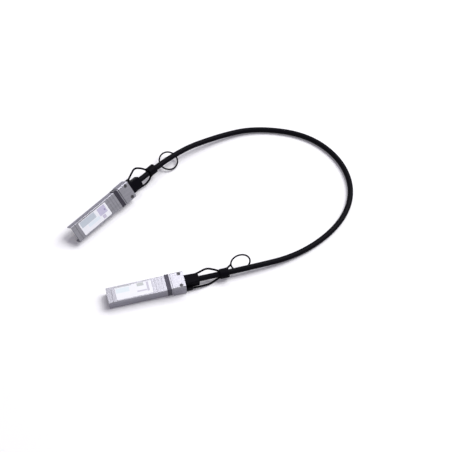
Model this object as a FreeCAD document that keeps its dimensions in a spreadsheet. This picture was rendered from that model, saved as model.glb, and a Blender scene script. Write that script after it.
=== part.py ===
"""Direct attach copper cable: two small-form plugs joined by half a metre of twinax cable.

Each plug is modelled in its own frame: the nose tip is at x = 0, +X runs towards the cable,
z = 0 is the underside of the body and +Z is the label side.  The plug is then laid where it
rests: plug_b flat on its underside, plug_a rolled onto its long lower edge, as a stiff cable
leaves it.  Lengths are in millimetres and angles in degrees.
"""
import FreeCAD, Part
import Sketcher
import math
import os
import re

from FreeCAD import Placement, Rotation, Vector

# ---------------------------------------------------------------- driving sizes
SIZES = {
    # die-cast body
    "plug_length": 57.0,        # nose tip to the rear of the head
    "head_length": 9.5,         # from the step that stops against the cage
    "body_width": 13.4,
    "body_height": 8.5,
    "head_width": 14.0,
    "head_rise": 0.7,           # head above the body's top
    "head_drop": 0.6,           # head below the body's underside
    "side_wall": 0.75,
    "floor_wall": 0.8,
    "roof_wall": 0.9,
    "cover_depth": 3.25,        # body's top to the seam, which is level with the card's underside
    "cover_inset": 0.06,        # the cover is this much narrower, on each side, than the base
    "nose_bar": 3.4,            # bridge that ties the two side walls at the nose
    "nose_gap": 0.2,
    "nose_lip": 0.8,            # tongue of the cover that hooks under the bridge
    "lip_sheet": 0.5,
    "lip_side": 2.0,            # tongue stays this far inside each side of the body
    "nose_lead": 1.6,           # lead-in at the lower front corner of the side walls
    "nose_opening": 10.4,       # the floor is open this far back, for the host socket
    "under_chamfer": 1.1,       # long lower edges of the body
    "top_chamfer": 0.45,
    "head_chamfer": 0.8,
    # latch: fixed boss on the underside and the slot the slider runs in
    "shoulder_ahead": 2.5,      # boss's locking face ahead of the head, 45 mm from the nose
    "boss_length": 2.6,
    "boss_width": 2.6,
    "boss_height": 0.45,
    "boss_flat": 0.9,
    "slot_reach": 5.8,          # slot runs this far ahead of the locking face
    "slot_width": 6.3,
    "slot_depth": 1.0,
    "bay_margin": 3.8,          # inner floor is thicker from this far ahead of the slot
    "bay_floor": 2.1,
    "bay_ahead": 4.5,           # wire bay ends this far ahead of the head
    "channel_side": 1.4,        # slider channel stays this far inside the head
    "channel_gap": 0.05,
    "stop_lip": 0.4,            # wall left at the head's front, below the slider
    # release slider, stamped steel
    "slider_sheet": 0.6,
    "slider_lift": 0.2,         # slider's underside above the body's underside
    "slider_play": 0.15,
    "tine_width": 1.5,
    "tine_room": 1.1,           # slot ahead of the tines
    "wedge_drop": 0.5,
    "wedge_length": 1.8,
    "web_gap": 0.4,             # web stands off the boss's locking face
    "wing_behind": 0.7,         # wings start this far behind the head's front
    "slider_inset": 0.6,        # slider ends this far inside the head's rear
    "ear_gap": 0.6,             # ears stay this far under the screws' tips
    "ear_inside": 6.0,
    "ear_outside": 3.2,         # ears reach this far behind the head
    "ear_side": 1.9,            # ears and the lanyard's roots, inside the head's side
    "ear_hole": 0.6,
    "pull_travel": 2.5,
    # serpentine return spring and its fixed post
    "window_behind": 1.9,       # spring window starts this far behind the head's front
    "window_width": 3.8,
    "spring_room": 3.9,
    "post_length": 0.9,
    "spring_sheet": 0.15,
    "spring_folds": 4,
    "spring_gap": 0.1,
    "cover_sheet": 0.45,        # plate under the slider channel
    "cover_edge": 0.5,          # how far it laps the channel's edge, each side
    "cover_corner": 0.6,
    "fit_gap": 0.1,             # general clearance between fitted pieces
    # conductive gasket round the top and sides, ahead of the head
    "gasket_ahead": 4.3,        # strip starts this far ahead of the head
    "gasket_width": 3.2,
    "gasket_depth": 0.5,
    "gasket_proud": 0.45,
    "gasket_foot": 1.7,
    "groove_width": 0.9,        # shallow groove round the strip, between its two ridges
    "groove_depth": 0.2,
    # top face
    "label_start": 6.2,
    "label_gap": 2.0,           # label ends this far ahead of the ribs
    "label_side": 1.3,          # bare margin on each side of the label
    "label_sheet": 0.1,
    "label_recess": 0.14,
    "label_corner": 0.6,
    "rib_ahead": 8.0,           # first rib, ahead of the gasket
    "rib_pitch": 2.5,
    "rib_count": 3,
    "rib_width": 0.8,
    "rib_depth": 0.22,
    # card and what is on it
    "card_front": 3.2,
    "card_shoulder": 11.2,
    "card_bay": 2.4,            # card ends this far ahead of the bay
    "tongue_width": 9.2,
    "shoulder_slope": 0.5,
    "card_side": 1.0,           # card's edge inside the body's side
    "card_sheet": 1.0,
    "card_bevel": 0.3,
    "ledge_start": 12.2,
    "ledge_rear": 2.4,          # ledges end this far ahead of the card's rear
    "ledge_width": 1.05,
    "pin_radius": 0.45,
    "pin_room": 1.5,            # cover's ledges stop this far ahead of the pins
    "pin_share": 0.8,           # pins rise through this share of the card
    "contact_start": 3.9,
    "contact_length": 3.2,
    "contact_width": 0.56,
    "contact_pitch": 0.8,
    "contact_count": 10,
    "contact_sheet": 0.05,
    "chip_side": -2.9,
    "chip_length": 3.0,
    "chip_width": 2.0,
    "chip_height": 0.6,
    "capacitor_rear": 8.4,      # from the card's rear
    "capacitor_length": 1.0,
    "capacitor_width": 0.5,
    "capacitor_height": 0.5,
    "capacitor_pitch": 1.6,
    "capacitor_count": 4,
    # wires
    "pair_offset": 2.4,
    "core_spacing": 1.1,
    "core_radius": 0.45,
    "conductor_radius": 0.16,
    "conductor_lap": 3.4,       # bare wire on the card
    "core_gap": 0.2,
    "pair_gap": 0.5,            # shields end this far behind the comb
    "pair_width": 2.3,
    "pair_height": 1.4,
    "comb_gap": 0.3,            # comb behind the ends of the cores
    "comb_length": 2.2,
    # ferrule and boot
    "axis_rise": 0.05,          # cable's centre line above the body's middle
    "cable_radius": 2.1,
    "ferrule_gap": 0.4,
    "ferrule_length": 5.8,
    "ferrule_radius": 2.3,
    "ferrule_bore": 1.6,
    "ferrule_flange": 2.6,
    "flange_length": 0.8,
    "boot_flange_length": 1.9,
    "boot_flange_step": 0.3,    # flange narrower than the block, each side
    "boot_flange_height": 5.2,
    "boot_neck_step": 1.0,
    "boot_neck_height": 4.4,
    "boot_length": 10.7,        # the part outside the head
    "root_gap": 0.3,            # between the block and the lanyard's roots
    "boot_height": 7.0,
    "boot_taper": 0.3,          # each side, over its length
    "boot_round": 0.8,
    "boot_bore_depth": 3.0,
    "bore_gap": 0.05,
    # cover screws
    "screw_rear": 3.2,          # from the head's rear
    "screw_edge": 2.0,          # inside the head's side
    "screw_radius": 0.75,
    "screw_head_radius": 1.3,
    "screw_head_height": 0.7,
    "screw_sink": 0.8,
    "screw_reach": 1.65,        # below the seam
    "socket_radius": 0.55,
    "socket_depth": 0.4,
    # lanyard
    "root_length": 4.4,
    "root_height": 3.6,
    "root_width": 1.5,
    "arm_bury": 0.5,            # start of each arm, inside its root
    "arm_radius": 0.75,
    "neck_radius": 0.7,
    "neck_bury": 2.0,           # start of the ring's neck, inside the collar
    "neck_edge": 0.4,
    "collar_radius": 3.75,
    "collar_length": 7.0,
    "collar_gap": 0.45,         # collar's bore clear of the cable, all round
    "ring_radius": 7.2,         # to the middle of the ring's wire
    "ring_wire": 0.6,
    "over": 1.0,                # how far a cut runs past the face that it opens
}

# Places and widths that follow from the driving sizes
FOLLOWING = {
    "head_start": "plug_length - head_length",
    "seam_height": "body_height - cover_depth",
    "cable_axis": "body_height / 2 + axis_rise",
    "latch_shoulder": "head_start - shoulder_ahead",
    "slot_start": "latch_shoulder - slot_reach",
    "bay_start": "slot_start - bay_margin",
    "bay_end": "head_start - bay_ahead",
    "channel_width": "head_width - 2 * channel_side",
    "tine_front": "slot_start + tine_room",
    "wing_start": "head_start + wing_behind",
    "slider_end": "plug_length - slider_inset",
    "screw_place": "plug_length - screw_rear",
    "screw_side": "head_width / 2 - screw_edge",
    "screw_tip": "seam_height - screw_reach",
    "ear_height": "screw_tip - ear_gap - slider_lift",
    "ear_start": "plug_length - ear_inside",
    "ear_end": "plug_length + ear_outside",
    "ear_middle": "head_width / 2 - ear_side",
    "window_start": "head_start + window_behind",
    "post_start": "window_start + spring_room",
    "gasket_start": "head_start - gasket_ahead",
    "rib_start": "gasket_start - rib_ahead",
    "label_length": "rib_start - label_gap - label_start",
    "label_width": "body_width - 2 * label_side",
    "card_rear": "bay_start - card_bay",
    "card_width": "body_width - 2 * card_side",
    "ledge_end": "card_rear - ledge_rear",
    "pin_place": "(ledge_start + ledge_end) / 2",
    "capacitor_start": "card_rear - capacitor_rear",
    "chip_start": "(card_shoulder + capacitor_start - chip_length) / 2",
    "conductor_start": "card_rear - conductor_lap",
    "core_start": "card_rear + core_gap",
    "comb_start": "core_start + comb_gap",
    "comb_height": "body_height - roof_wall - seam_height - 2 * fit_gap",
    "pair_start": "comb_start + comb_length + pair_gap",
    "ferrule_start": "bay_end + ferrule_gap",
    "ferrule_end": "ferrule_start + ferrule_length",
    "boot_width": "2 * (ear_middle - root_width / 2 - root_gap)",
    "boot_flange_width": "boot_width - 2 * boot_flange_step",
    "boot_neck_width": "boot_width - 2 * boot_neck_step",
}

# Where the plugs lie: plan place of the nose on the cable's axis, heading and roll
LAYOUT = {
    "a": {"nose": (-113.4, -12.3), "heading": 45.9, "roll": 45.0},
    "b": {"nose": (-85.5, -65.9), "heading": 14.0, "roll": 0.0},
}

# How the soft lanyard lies at each plug.  Angles turn about the cable from the sides of the
# plug; "bow" is how far each arm stands off the cable half way; "ahead" is the ring's centre
# beyond the collar; ring is (turn of its plane, offset of that plane from the cable, shift
# within that plane).
LANYARD = {
    "a": {"collar": 20.2, "twist": -11.0, "bow": (9.6, 5.9), "ahead": 14.0,
          "ring": (-25.0, 4.1, -2.0)},
    "b": {"collar": 26.2, "twist": 73.0, "bow": (6.4, 5.7), "ahead": 10.0,
          "ring": (73.0, 3.9, 3.45)},
}

# Course of each arm: share of its length, and share of its turn about the cable by then
ARM_COURSE = [(0, 0), (0.3, 0.1), (0.62, 0.5), (0.86, 0.9), (1, 1)]

# Free cable: straight stretch out of each plug, then corner points of its route: plan place
# and height of its underside above the table
STRAIGHT = {"a": 45.9, "b": 48.0}
ROUTE = [
    (-4.6, 82.3, 2.5),
    (24.2, 91.5, 0.05),
    (63.3, 85.2, 0.05),
    (89.1, 61.7, 0.05),
    (97.7, 30.3, 0.05),
    (86.2, -0.6, 0.05),
    (54.9, -27.2, 0.05),
]
ARC_SHARE = 0.45

ORIGIN = (-50.028, -3.453)            # plan point of the layout that becomes the part's origin

doc = FreeCAD.newDocument("direct_attach_cable")
sheet = doc.addObject("Spreadsheet::Sheet", "sizes")
cells = {alias: str(number) for alias, number in SIZES.items()}
cells.update((alias, "=" + text) for alias, text in FOLLOWING.items())
for row, (alias, content) in enumerate(cells.items(), start=1):
    sheet.set("A%d" % row, alias)
    sheet.set("B%d" % row, content)
    sheet.setAlias("B%d" % row, alias)
doc.recompute()


def size(alias):
    """A driving size, read back from the sheet."""
    return float(sheet.get(alias))


def bound(text):
    """An expression on the sheet's cells, from one written with their bare names."""
    return re.sub(r"[a-z_]{4,}", lambda word: "sizes." + word.group(0), text)


def value(text):
    """The number that such an expression gives now."""
    return float(sheet.evalExpression(bound(text)))


# ---------------------------------------------------------------- drawing helpers
def new_body(label):
    body = doc.addObject("PartDesign::Body", label)
    body.Label = label
    body.AllowCompound = True
    return body


def pin(drawing, kind, edge, point, text):
    """Hold one coordinate of a point by an expression."""
    row = drawing.addConstraint(Sketcher.Constraint(kind, -1, 1, edge, point, value(text)))
    drawing.setExpression("Constraints[%d]" % row, bound(text))


def polygon(drawing, corners):
    """A closed polygon whose corners are bound to the sheet."""
    first = drawing.GeometryCount
    spots = [Vector(value(across), value(up), 0) for across, up in corners]
    for index, spot in enumerate(spots):
        drawing.addGeometry(Part.LineSegment(spot, spots[(index + 1) % len(spots)]), False)
    for index, (across, up) in enumerate(corners):
        before = first + (index - 1) % len(corners)
        drawing.addConstraint(Sketcher.Constraint("Coincident", before, 2, first + index, 1))
        pin(drawing, "DistanceX", first + index, 1, across)
        pin(drawing, "DistanceY", first + index, 1, up)


def circle(drawing, across, up, radius):
    centre = Vector(value(across), value(up), 0)
    edge = drawing.addGeometry(Part.Circle(centre, Vector(0, 0, 1), value(radius)), False)
    pin(drawing, "DistanceX", edge, 3, across)
    pin(drawing, "DistanceY", edge, 3, up)
    row = drawing.addConstraint(Sketcher.Constraint("Radius", edge, value(radius)))
    drawing.setExpression("Constraints[%d]" % row, bound(radius))


def sketch(body, plane, offset, shapes):
    """A sketch parallel to one of the body's origin planes; a shape is corners or a circle."""
    drawing = body.newObject("Sketcher::SketchObject", body.Name + "_sketch")
    support = next(item for item in body.Origin.OriginFeatures if item.Role == plane)
    drawing.AttachmentSupport = [(support, "")]
    drawing.MapMode = "FlatFace"
    drawing.setExpression("AttachmentOffset.Base.z", bound(offset))
    for shape in shapes:
        if isinstance(shape, tuple):
            circle(drawing, *shape)
        else:
            polygon(drawing, shape)
    return drawing


def slab(kind, body, plane, shapes, low, high):
    """Add or remove the shapes between two heights along the plane's axis."""
    toward_minus = plane == "XZ_Plane"      # this plane's normal points along -Y
    offset = "-(%s)" % high if toward_minus else low
    drawing = sketch(body, plane, offset, shapes)
    step = body.newObject("PartDesign::" + kind, "%s_%s" % (body.Name, kind.lower()))
    step.Profile = drawing
    step.setExpression("Length", bound("%s - (%s)" % (high, low)))
    step.Reversed = kind == "Pocket"
    body.Tip = step
    return step


def add(body, plane, shapes, low, high):
    return slab("Pad", body, plane, shapes, low, high)


def cut(body, plane, shapes, low, high):
    return slab("Pocket", body, plane, shapes, low, high)


def rectangle(left, right, low, high):
    return [(left, low), (right, low), (right, high), (left, high)]


def centred(width, low, high):
    """A rectangle across the plug, symmetric about its middle."""
    return rectangle("-(%s) / 2" % width, "(%s) / 2" % width, low, high)


def both_sides(inner, outer, low, high):
    """Two rectangles, mirrored about the plug's middle plane; first coordinate across."""
    return [rectangle(inner, outer, low, high),
            rectangle("-(%s)" % outer, "-(%s)" % inner, low, high)]


def in_plan(start, end, inner, outer):
    """The same pair seen from above, first coordinate along the plug."""
    return [rectangle(start, end, inner, outer),
            rectangle(start, end, "-(%s)" % outer, "-(%s)" % inner)]


def plan(start, end, width):
    return rectangle(start, end, "-(%s) / 2" % width, "(%s) / 2" % width)


def row_of(body, steps, axis, pitch, count):
    """Repeat features along one of the body's origin axes."""
    pattern = body.newObject("PartDesign::LinearPattern", body.Name + "_row")
    pattern.Originals = steps
    line = next(item for item in body.Origin.OriginFeatures if item.Role == axis)
    pattern.Direction = (line, [""])
    pattern.Mode = "Spacing"
    pattern.setExpression("Offset", bound(pitch))
    pattern.setExpression("Occurrences", bound(count))
    body.Tip = pattern
    return pattern


# ---------------------------------------------------------------- where each plug lies
def depths_under_axis(half_width, drop, chamfer, roll):
    """How far the two edges of the lower chamfer reach under the cable's axis, at this roll."""
    angle = math.radians(roll)
    corners = [(half_width - chamfer, drop), (half_width, drop - chamfer)]
    return [side * math.sin(angle) + down * math.cos(angle) for side, down in corners]


def plug_placement(end):
    """Rest the plug on its nose, behind the lead-in, and on the front of its head."""
    lay = LAYOUT[end]
    axis = size("cable_axis")
    chamfer = size("under_chamfer")
    nose = depths_under_axis(size("body_width") / 2, axis, chamfer, lay["roll"])
    head = max(depths_under_axis(size("head_width") / 2, axis + size("head_drop"),
                                 size("head_chamfer"), lay["roll"]))
    lead = size("nose_lead")
    reach = size("head_start")
    lift = min(math.atan2(head - depth, reach - start)
               for depth, start in zip(nose, (lead, max(lead - chamfer, 0))))
    turn = Rotation(lay["heading"], -math.degrees(lift), lay["roll"])
    spot = Vector(lay["nose"][0] - ORIGIN[0], lay["nose"][1] - ORIGIN[1],
                  head * math.cos(lift) - reach * math.sin(lift))
    return Placement(spot - turn.multVec(Vector(0, 0, axis)), turn)


# ---------------------------------------------------------------- the two shells
def bottom_shell(end):
    """Die-cast base: side walls, open nose floor, latch boss, slider slot and wire bay."""
    body = new_body("bottom_shell_" + end)
    half = "body_width / 2"
    inner = "body_width - 2 * side_wall"
    section = [("-%s + under_chamfer" % half, "0"), ("%s - under_chamfer" % half, "0"),
               (half, "under_chamfer"), (half, "seam_height"),
               ("-" + half, "seam_height"), ("-" + half, "under_chamfer")]
    add(body, "YZ_Plane", [section], "0", "head_start")
    bridge = [("-" + half, "seam_height"), (half, "seam_height"),
              (half, "body_height - top_chamfer"), (half + " - top_chamfer", "body_height"),
              ("-%s + top_chamfer" % half, "body_height"),
              ("-" + half, "body_height - top_chamfer")]
    add(body, "YZ_Plane", [bridge], "0", "nose_bar")
    head = "head_width / 2"
    head_section = [("-%s + head_chamfer" % head, "-head_drop"),
                    ("%s - head_chamfer" % head, "-head_drop"),
                    (head, "head_chamfer - head_drop"), (head, "seam_height"),
                    ("-" + head, "seam_height"), ("-" + head, "head_chamfer - head_drop")]
    add(body, "YZ_Plane", [head_section], "head_start", "plug_length")

    cut(body, "XY_Plane", [plan("-over", "bay_start", inner)], "floor_wall",
        "body_height - roof_wall")
    cut(body, "XY_Plane", [plan("bay_start", "bay_end", inner)], "bay_floor",
        "body_height - roof_wall")
    cut(body, "XY_Plane", [plan("-over", "nose_opening", inner)], "-over", "floor_wall")

    lead = [("-over", "-over"), ("nose_lead + over", "-over"), ("-over", "nose_lead + over")]
    cut(body, "XZ_Plane", [lead], "-body_width", "body_width")

    # card ledges with a locating pin on each
    ledge = "body_width / 2 - side_wall - ledge_width"
    add(body, "XY_Plane", in_plan("ledge_start", "ledge_end", ledge, half + " - side_wall"),
        "floor_wall", "seam_height")
    pin_side = "card_width / 2 - pin_radius / 2"
    add(body, "XY_Plane", [("pin_place", pin_side, "pin_radius"),
                           ("pin_place", "-(%s)" % pin_side, "pin_radius")],
        "seam_height", "seam_height + pin_share * card_sheet")

    # underside: slider slot, channel under the head and the recess of its cover plate
    cut(body, "XY_Plane", [plan("slot_start", "head_start", "slot_width")], "-over", "slot_depth")
    cut(body, "XY_Plane", [plan("head_start - over", "head_start + over", "slot_width")],
        "cover_sheet + channel_gap - head_drop", "slot_depth")
    cut(body, "XY_Plane", [plan("head_start + stop_lip", "plug_length + over",
                                "channel_width")], "-over", "slot_depth")
    cut(body, "XY_Plane", [plan("head_start + stop_lip", "plug_length + over",
                                "channel_width + 2 * cover_edge")],
        "-over", "cover_sheet + channel_gap - head_drop")
    slot_inner = "ear_middle - slider_sheet / 2 - 2 * fit_gap"
    slot_outer = "ear_middle + slider_sheet / 2 + 2 * fit_gap"
    cut(body, "XY_Plane", in_plan("ear_start - 2 * fit_gap", "plug_length + over", slot_inner,
                                  slot_outer),
        "slot_depth", "slider_lift + ear_height + 2 * fit_gap")

    # fixed latch boss: a ramp towards the nose, a square face towards the cable
    boss_start = "latch_shoulder - boss_length"
    boss = [(boss_start, "slot_depth"), (boss_start, "0"),
            ("latch_shoulder - boss_flat", "-boss_height"), ("latch_shoulder", "-boss_height"),
            ("latch_shoulder", "slot_depth")]
    add(body, "XZ_Plane", [boss], "-boss_width / 2", "boss_width / 2")
    add(body, "XY_Plane", [plan("post_start", "post_start + post_length",
                                "window_width - 4 * fit_gap")], "slider_lift", "slot_depth")

    cable_way(body)
    cut(body, "XY_Plane", screw_circles("screw_radius - fit_gap"), "screw_tip - fit_gap",
        "seam_height")
    gasket_side = both_sides("body_width / 2 - gasket_depth", "body_width / 2 + over",
                             "gasket_foot", "seam_height + over")
    cut(body, "YZ_Plane", gasket_side, "gasket_start", "gasket_start + gasket_width")
    return body


def cable_way(body):
    """Seats of the ferrule and of the boot, the same bore in both shells."""
    cut(body, "YZ_Plane", [("0", "cable_axis", "ferrule_radius + fit_gap")],
        "bay_end - fit_gap", "ferrule_end + fit_gap")
    cut(body, "YZ_Plane", [("0", "cable_axis", "ferrule_flange + fit_gap")],
        "bay_end - fit_gap", "ferrule_start + flange_length + fit_gap")
    cut(body, "YZ_Plane", [centred("boot_flange_width + 2 * fit_gap",
                                   "cable_axis - boot_flange_height / 2 - fit_gap",
                                   "cable_axis + boot_flange_height / 2 + fit_gap")],
        "ferrule_end", "ferrule_end + boot_flange_length + fit_gap")
    cut(body, "YZ_Plane", [centred("boot_neck_width + 2 * fit_gap",
                                   "cable_axis - boot_neck_height / 2 - fit_gap",
                                   "cable_axis + boot_neck_height / 2 + fit_gap")],
        "ferrule_end", "plug_length + over")


def screw_circles(radius):
    return [("screw_place", "screw_side", radius), ("screw_place", "-screw_side", radius)]


def top_shell(end):
    """Die-cast cover: hooks under the nose bridge and is screwed down at the head."""
    body = new_body("top_shell_" + end)
    start = "nose_bar + nose_gap"
    half = "(body_width / 2 - cover_inset)"
    section = [("-" + half, "seam_height"), (half, "seam_height"),
               (half, "body_height - top_chamfer"), (half + " - top_chamfer", "body_height"),
               ("-%s + top_chamfer" % half, "body_height"),
               ("-" + half, "body_height - top_chamfer")]
    add(body, "YZ_Plane", [section], start, "head_start")
    head = "(head_width / 2 - cover_inset)"
    crown = "body_height + head_rise"
    head_section = [("-" + head, "seam_height"), (head, "seam_height"),
                    (head, crown + " - head_chamfer"), (head + " - head_chamfer", crown),
                    ("-%s + head_chamfer" % head, crown), ("-" + head, crown + " - head_chamfer")]
    add(body, "YZ_Plane", [head_section], "head_start", "plug_length")
    cut(body, "XY_Plane", [plan("0", "bay_end", "body_width - 2 * side_wall")], "seam_height - over",
        "body_height - roof_wall")
    lip_top = "body_height - roof_wall - fit_gap"
    lip_width = "body_width - 2 * lip_side"
    add(body, "XY_Plane", [plan(start + " - nose_lip", start + " + over", lip_width)],
        lip_top + " - lip_sheet", lip_top)
    add(body, "XY_Plane", [plan(start, start + " + over", lip_width)],
        lip_top, "body_height - roof_wall")
    ledge = "body_width / 2 - side_wall - ledge_width"
    add(body, "XY_Plane", in_plan("ledge_start", "pin_place - pin_room", ledge,
                                  "body_width / 2 - side_wall"),
        "seam_height + card_sheet", "body_height - roof_wall")
    cable_way(body)
    cut(body, "XY_Plane", screw_circles("screw_radius + fit_gap"), "seam_height - over", crown)
    cut(body, "XY_Plane", screw_circles("screw_head_radius + fit_gap"), crown + " - screw_sink",
        crown + " + over")
    label = [plan("label_start - fit_gap", "label_start + label_length + fit_gap",
                  "label_width + 2 * fit_gap")]
    cut(body, "XY_Plane", label, "body_height - label_recess", "body_height + over")
    gasket = [("-%s - over" % half, "seam_height - over"),
              ("-%s + gasket_depth" % half, "seam_height - over"),
              ("-%s + gasket_depth" % half, "body_height - gasket_depth"),
              (half + " - gasket_depth", "body_height - gasket_depth"),
              (half + " - gasket_depth", "seam_height - over"), (half + " + over", "seam_height - over"),
              (half + " + over", "body_height + over"), ("-%s - over" % half, "body_height + over")]
    cut(body, "YZ_Plane", [gasket], "gasket_start", "gasket_start + gasket_width")
    rib = cut(body, "XY_Plane", [plan("rib_start", "rib_start + rib_width", "body_width + over")],
              "body_height - rib_depth", "body_height + over")
    row_of(body, [rib], "X_Axis", "rib_pitch", "rib_count")
    return body


# ---------------------------------------------------------------- card and wires
def paddle_card(end):
    body = new_body("paddle_card_" + end)
    tongue = "tongue_width / 2"
    wide = "card_width / 2"
    outline = [("card_front + card_bevel", "-" + tongue), ("card_shoulder", "-" + tongue),
               ("card_shoulder + shoulder_slope", "-" + wide), ("card_rear", "-" + wide),
               ("card_rear", wide), ("card_shoulder + shoulder_slope", wide), ("card_shoulder", tongue),
               ("card_front + card_bevel", tongue), ("card_front", tongue + " - card_bevel"),
               ("card_front", "-%s + card_bevel" % tongue)]
    add(body, "XY_Plane", [outline], "seam_height", "seam_height + card_sheet")
    notch = "pin_radius + fit_gap"
    notch_side = "card_width / 2 - pin_radius / 2"
    cut(body, "XY_Plane", [("pin_place", notch_side, notch),
                           ("pin_place", "-(%s)" % notch_side, notch)],
        "seam_height - over", "seam_height + card_sheet + over")
    return body


def edge_contacts(end):
    """Gold fingers on both faces of the card's front edge."""
    body = new_body("edge_contacts_" + end)
    first = "-(contact_count - 1) / 2 * contact_pitch"
    finger = rectangle("contact_start", "contact_start + contact_length",
                       first + " - contact_width / 2", first + " + contact_width / 2")
    top = "seam_height + card_sheet"
    upper = add(body, "XY_Plane", [finger], top, top + " + contact_sheet")
    lower = add(body, "XY_Plane", [finger], "seam_height - contact_sheet", "seam_height")
    row_of(body, [upper, lower], "Y_Axis", "contact_pitch", "contact_count")
    return body


def memory_chip(end):
    body = new_body("memory_chip_" + end)
    top = "seam_height + card_sheet"
    add(body, "XY_Plane", [rectangle("chip_start", "chip_start + chip_length", "chip_side",
                                     "chip_side + chip_width")], top, top + " + chip_height")
    return body


def coupling_capacitors(end):
    body = new_body("coupling_capacitors_" + end)
    top = "seam_height + card_sheet"
    first = "-(capacitor_count - 1) / 2 * capacitor_pitch"
    block = rectangle("capacitor_start", "capacitor_start + capacitor_length",
                      first + " - capacitor_width / 2", first + " + capacitor_width / 2")
    step = add(body, "XY_Plane", [block], top, top + " + capacitor_height")
    row_of(body, [step], "Y_Axis", "capacitor_pitch", "capacitor_count")
    return body


WIRE_LEVEL = "seam_height + card_sheet + conductor_radius"


def wire_circles(radius):
    """The four wires side by side: two to each pair."""
    places = [side + step for side in ("pair_offset", "-pair_offset")
              for step in (" + core_spacing / 2", " - core_spacing / 2")]
    return [(place, WIRE_LEVEL, radius) for place in places]


def wire_ends(end):
    body = new_body("wire_ends_" + end)
    add(body, "YZ_Plane", wire_circles("conductor_radius"), "conductor_start", "core_start")
    return body


def insulated_cores(end):
    body = new_body("insulated_cores_" + end)
    add(body, "YZ_Plane", wire_circles("core_radius"), "core_start", "pair_start")
    return body


def wire_comb(end):
    """Keeps the four cores on their pitch behind the card."""
    body = new_body("wire_comb_" + end)
    low = "seam_height + fit_gap"
    add(body, "YZ_Plane", [centred("body_width - 2 * side_wall - 2 * fit_gap", low,
                                   low + " + comb_height")],
        "comb_start", "comb_start + comb_length")
    cut(body, "YZ_Plane", wire_circles("core_radius + bore_gap"), "comb_start - over",
        "comb_start + comb_length + over")
    return body


def stadium(along, across, up):
    """Flat oval section of a shielded pair, standing across the plug."""
    flat = (size("pair_width") - size("pair_height")) / 2
    half = size("pair_height") / 2
    low = [Vector(along, across - flat, up - half), Vector(along, across + flat, up - half)]
    high = [Vector(along, across + flat, up + half), Vector(along, across - flat, up + half)]
    right = Part.Arc(low[1], Vector(along, across + flat + half, up), high[0])
    left = Part.Arc(high[1], Vector(along, across - flat - half, up), low[0])
    return Part.Wire([Part.LineSegment(*low).toShape(), right.toShape(),
                      Part.LineSegment(*high).toShape(), left.toShape()])


def twinax_pairs(end):
    """Two shielded pairs, from side by side at the card to stacked in the ferrule."""
    pairs = []
    wires = value(WIRE_LEVEL)
    stack = size("pair_height") / 2 + size("bore_gap")
    for side in (1, -1):
        card_end = (side * size("pair_offset"), wires)
        cable_end = (0, size("cable_axis") + side * stack)
        bend = Part.makeLoft([stadium(size("pair_start"), *card_end),
                              stadium(size("ferrule_start"), *cable_end)], True, True)
        run = Part.makeLoft([stadium(size("ferrule_start"), *cable_end),
                             stadium(size("ferrule_end"), *cable_end)], True, True)
        pairs.append(bend.fuse(run))
    return feature("twinax_pairs_" + end, Part.makeCompound(pairs))


def crimp_ferrule(end):
    body = new_body("crimp_ferrule_" + end)
    for radius, low, high in (("ferrule_radius", "ferrule_start", "ferrule_end"),
                              ("ferrule_flange", "ferrule_start",
                               "ferrule_start + flange_length")):
        add(body, "YZ_Plane", [("0", "cable_axis", radius)], low, high)
    cut(body, "YZ_Plane", [("0", "cable_axis", "ferrule_bore")], "ferrule_start - over",
        "ferrule_end + over")
    return body


# ---------------------------------------------------------------- boot, gasket, screws, label
def boot(end):
    """Strain relief: flange and neck trapped in the head, tapered block outside it."""
    body = new_body("boot_" + end)
    for width, height, low, high in (
            ("boot_flange_width", "boot_flange_height", "ferrule_end",
             "ferrule_end + boot_flange_length"),
            ("boot_neck_width", "boot_neck_height", "ferrule_end", "plug_length")):
        add(body, "YZ_Plane", [centred(width, "cable_axis - %s / 2" % height,
                                       "cable_axis + %s / 2" % height)], low, high)
    front = sketch(body, "YZ_Plane", "plug_length",
                   [centred("boot_width", "cable_axis - boot_height / 2",
                            "cable_axis + boot_height / 2")])
    rear = sketch(body, "YZ_Plane", "plug_length + boot_length",
                  [centred("boot_width - 2 * boot_taper",
                           "cable_axis - boot_height / 2 + boot_taper",
                           "cable_axis + boot_height / 2 - boot_taper")])
    block = body.newObject("PartDesign::AdditiveLoft", body.Name + "_block")
    block.Profile = front
    block.Sections = [rear]
    block.Ruled = True
    body.Tip = block
    doc.recompute()
    long_edges = []
    for index, edge in enumerate(block.Shape.Edges, start=1):
        ends = sorted(vertex.Point.x for vertex in edge.Vertexes)
        if abs(ends[-1] - size("plug_length") - size("boot_length")) < 1e-6:
            long_edges.append("Edge%d" % index)
    soften = body.newObject("PartDesign::Fillet", body.Name + "_soften")
    soften.Base = (block, long_edges)
    soften.setExpression("Radius", bound("boot_round"))
    body.Tip = soften
    cut(body, "YZ_Plane", [("0", "cable_axis", "cable_radius + bore_gap")],
        "plug_length + boot_length - boot_bore_depth", "plug_length + boot_length + over")
    return body


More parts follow.
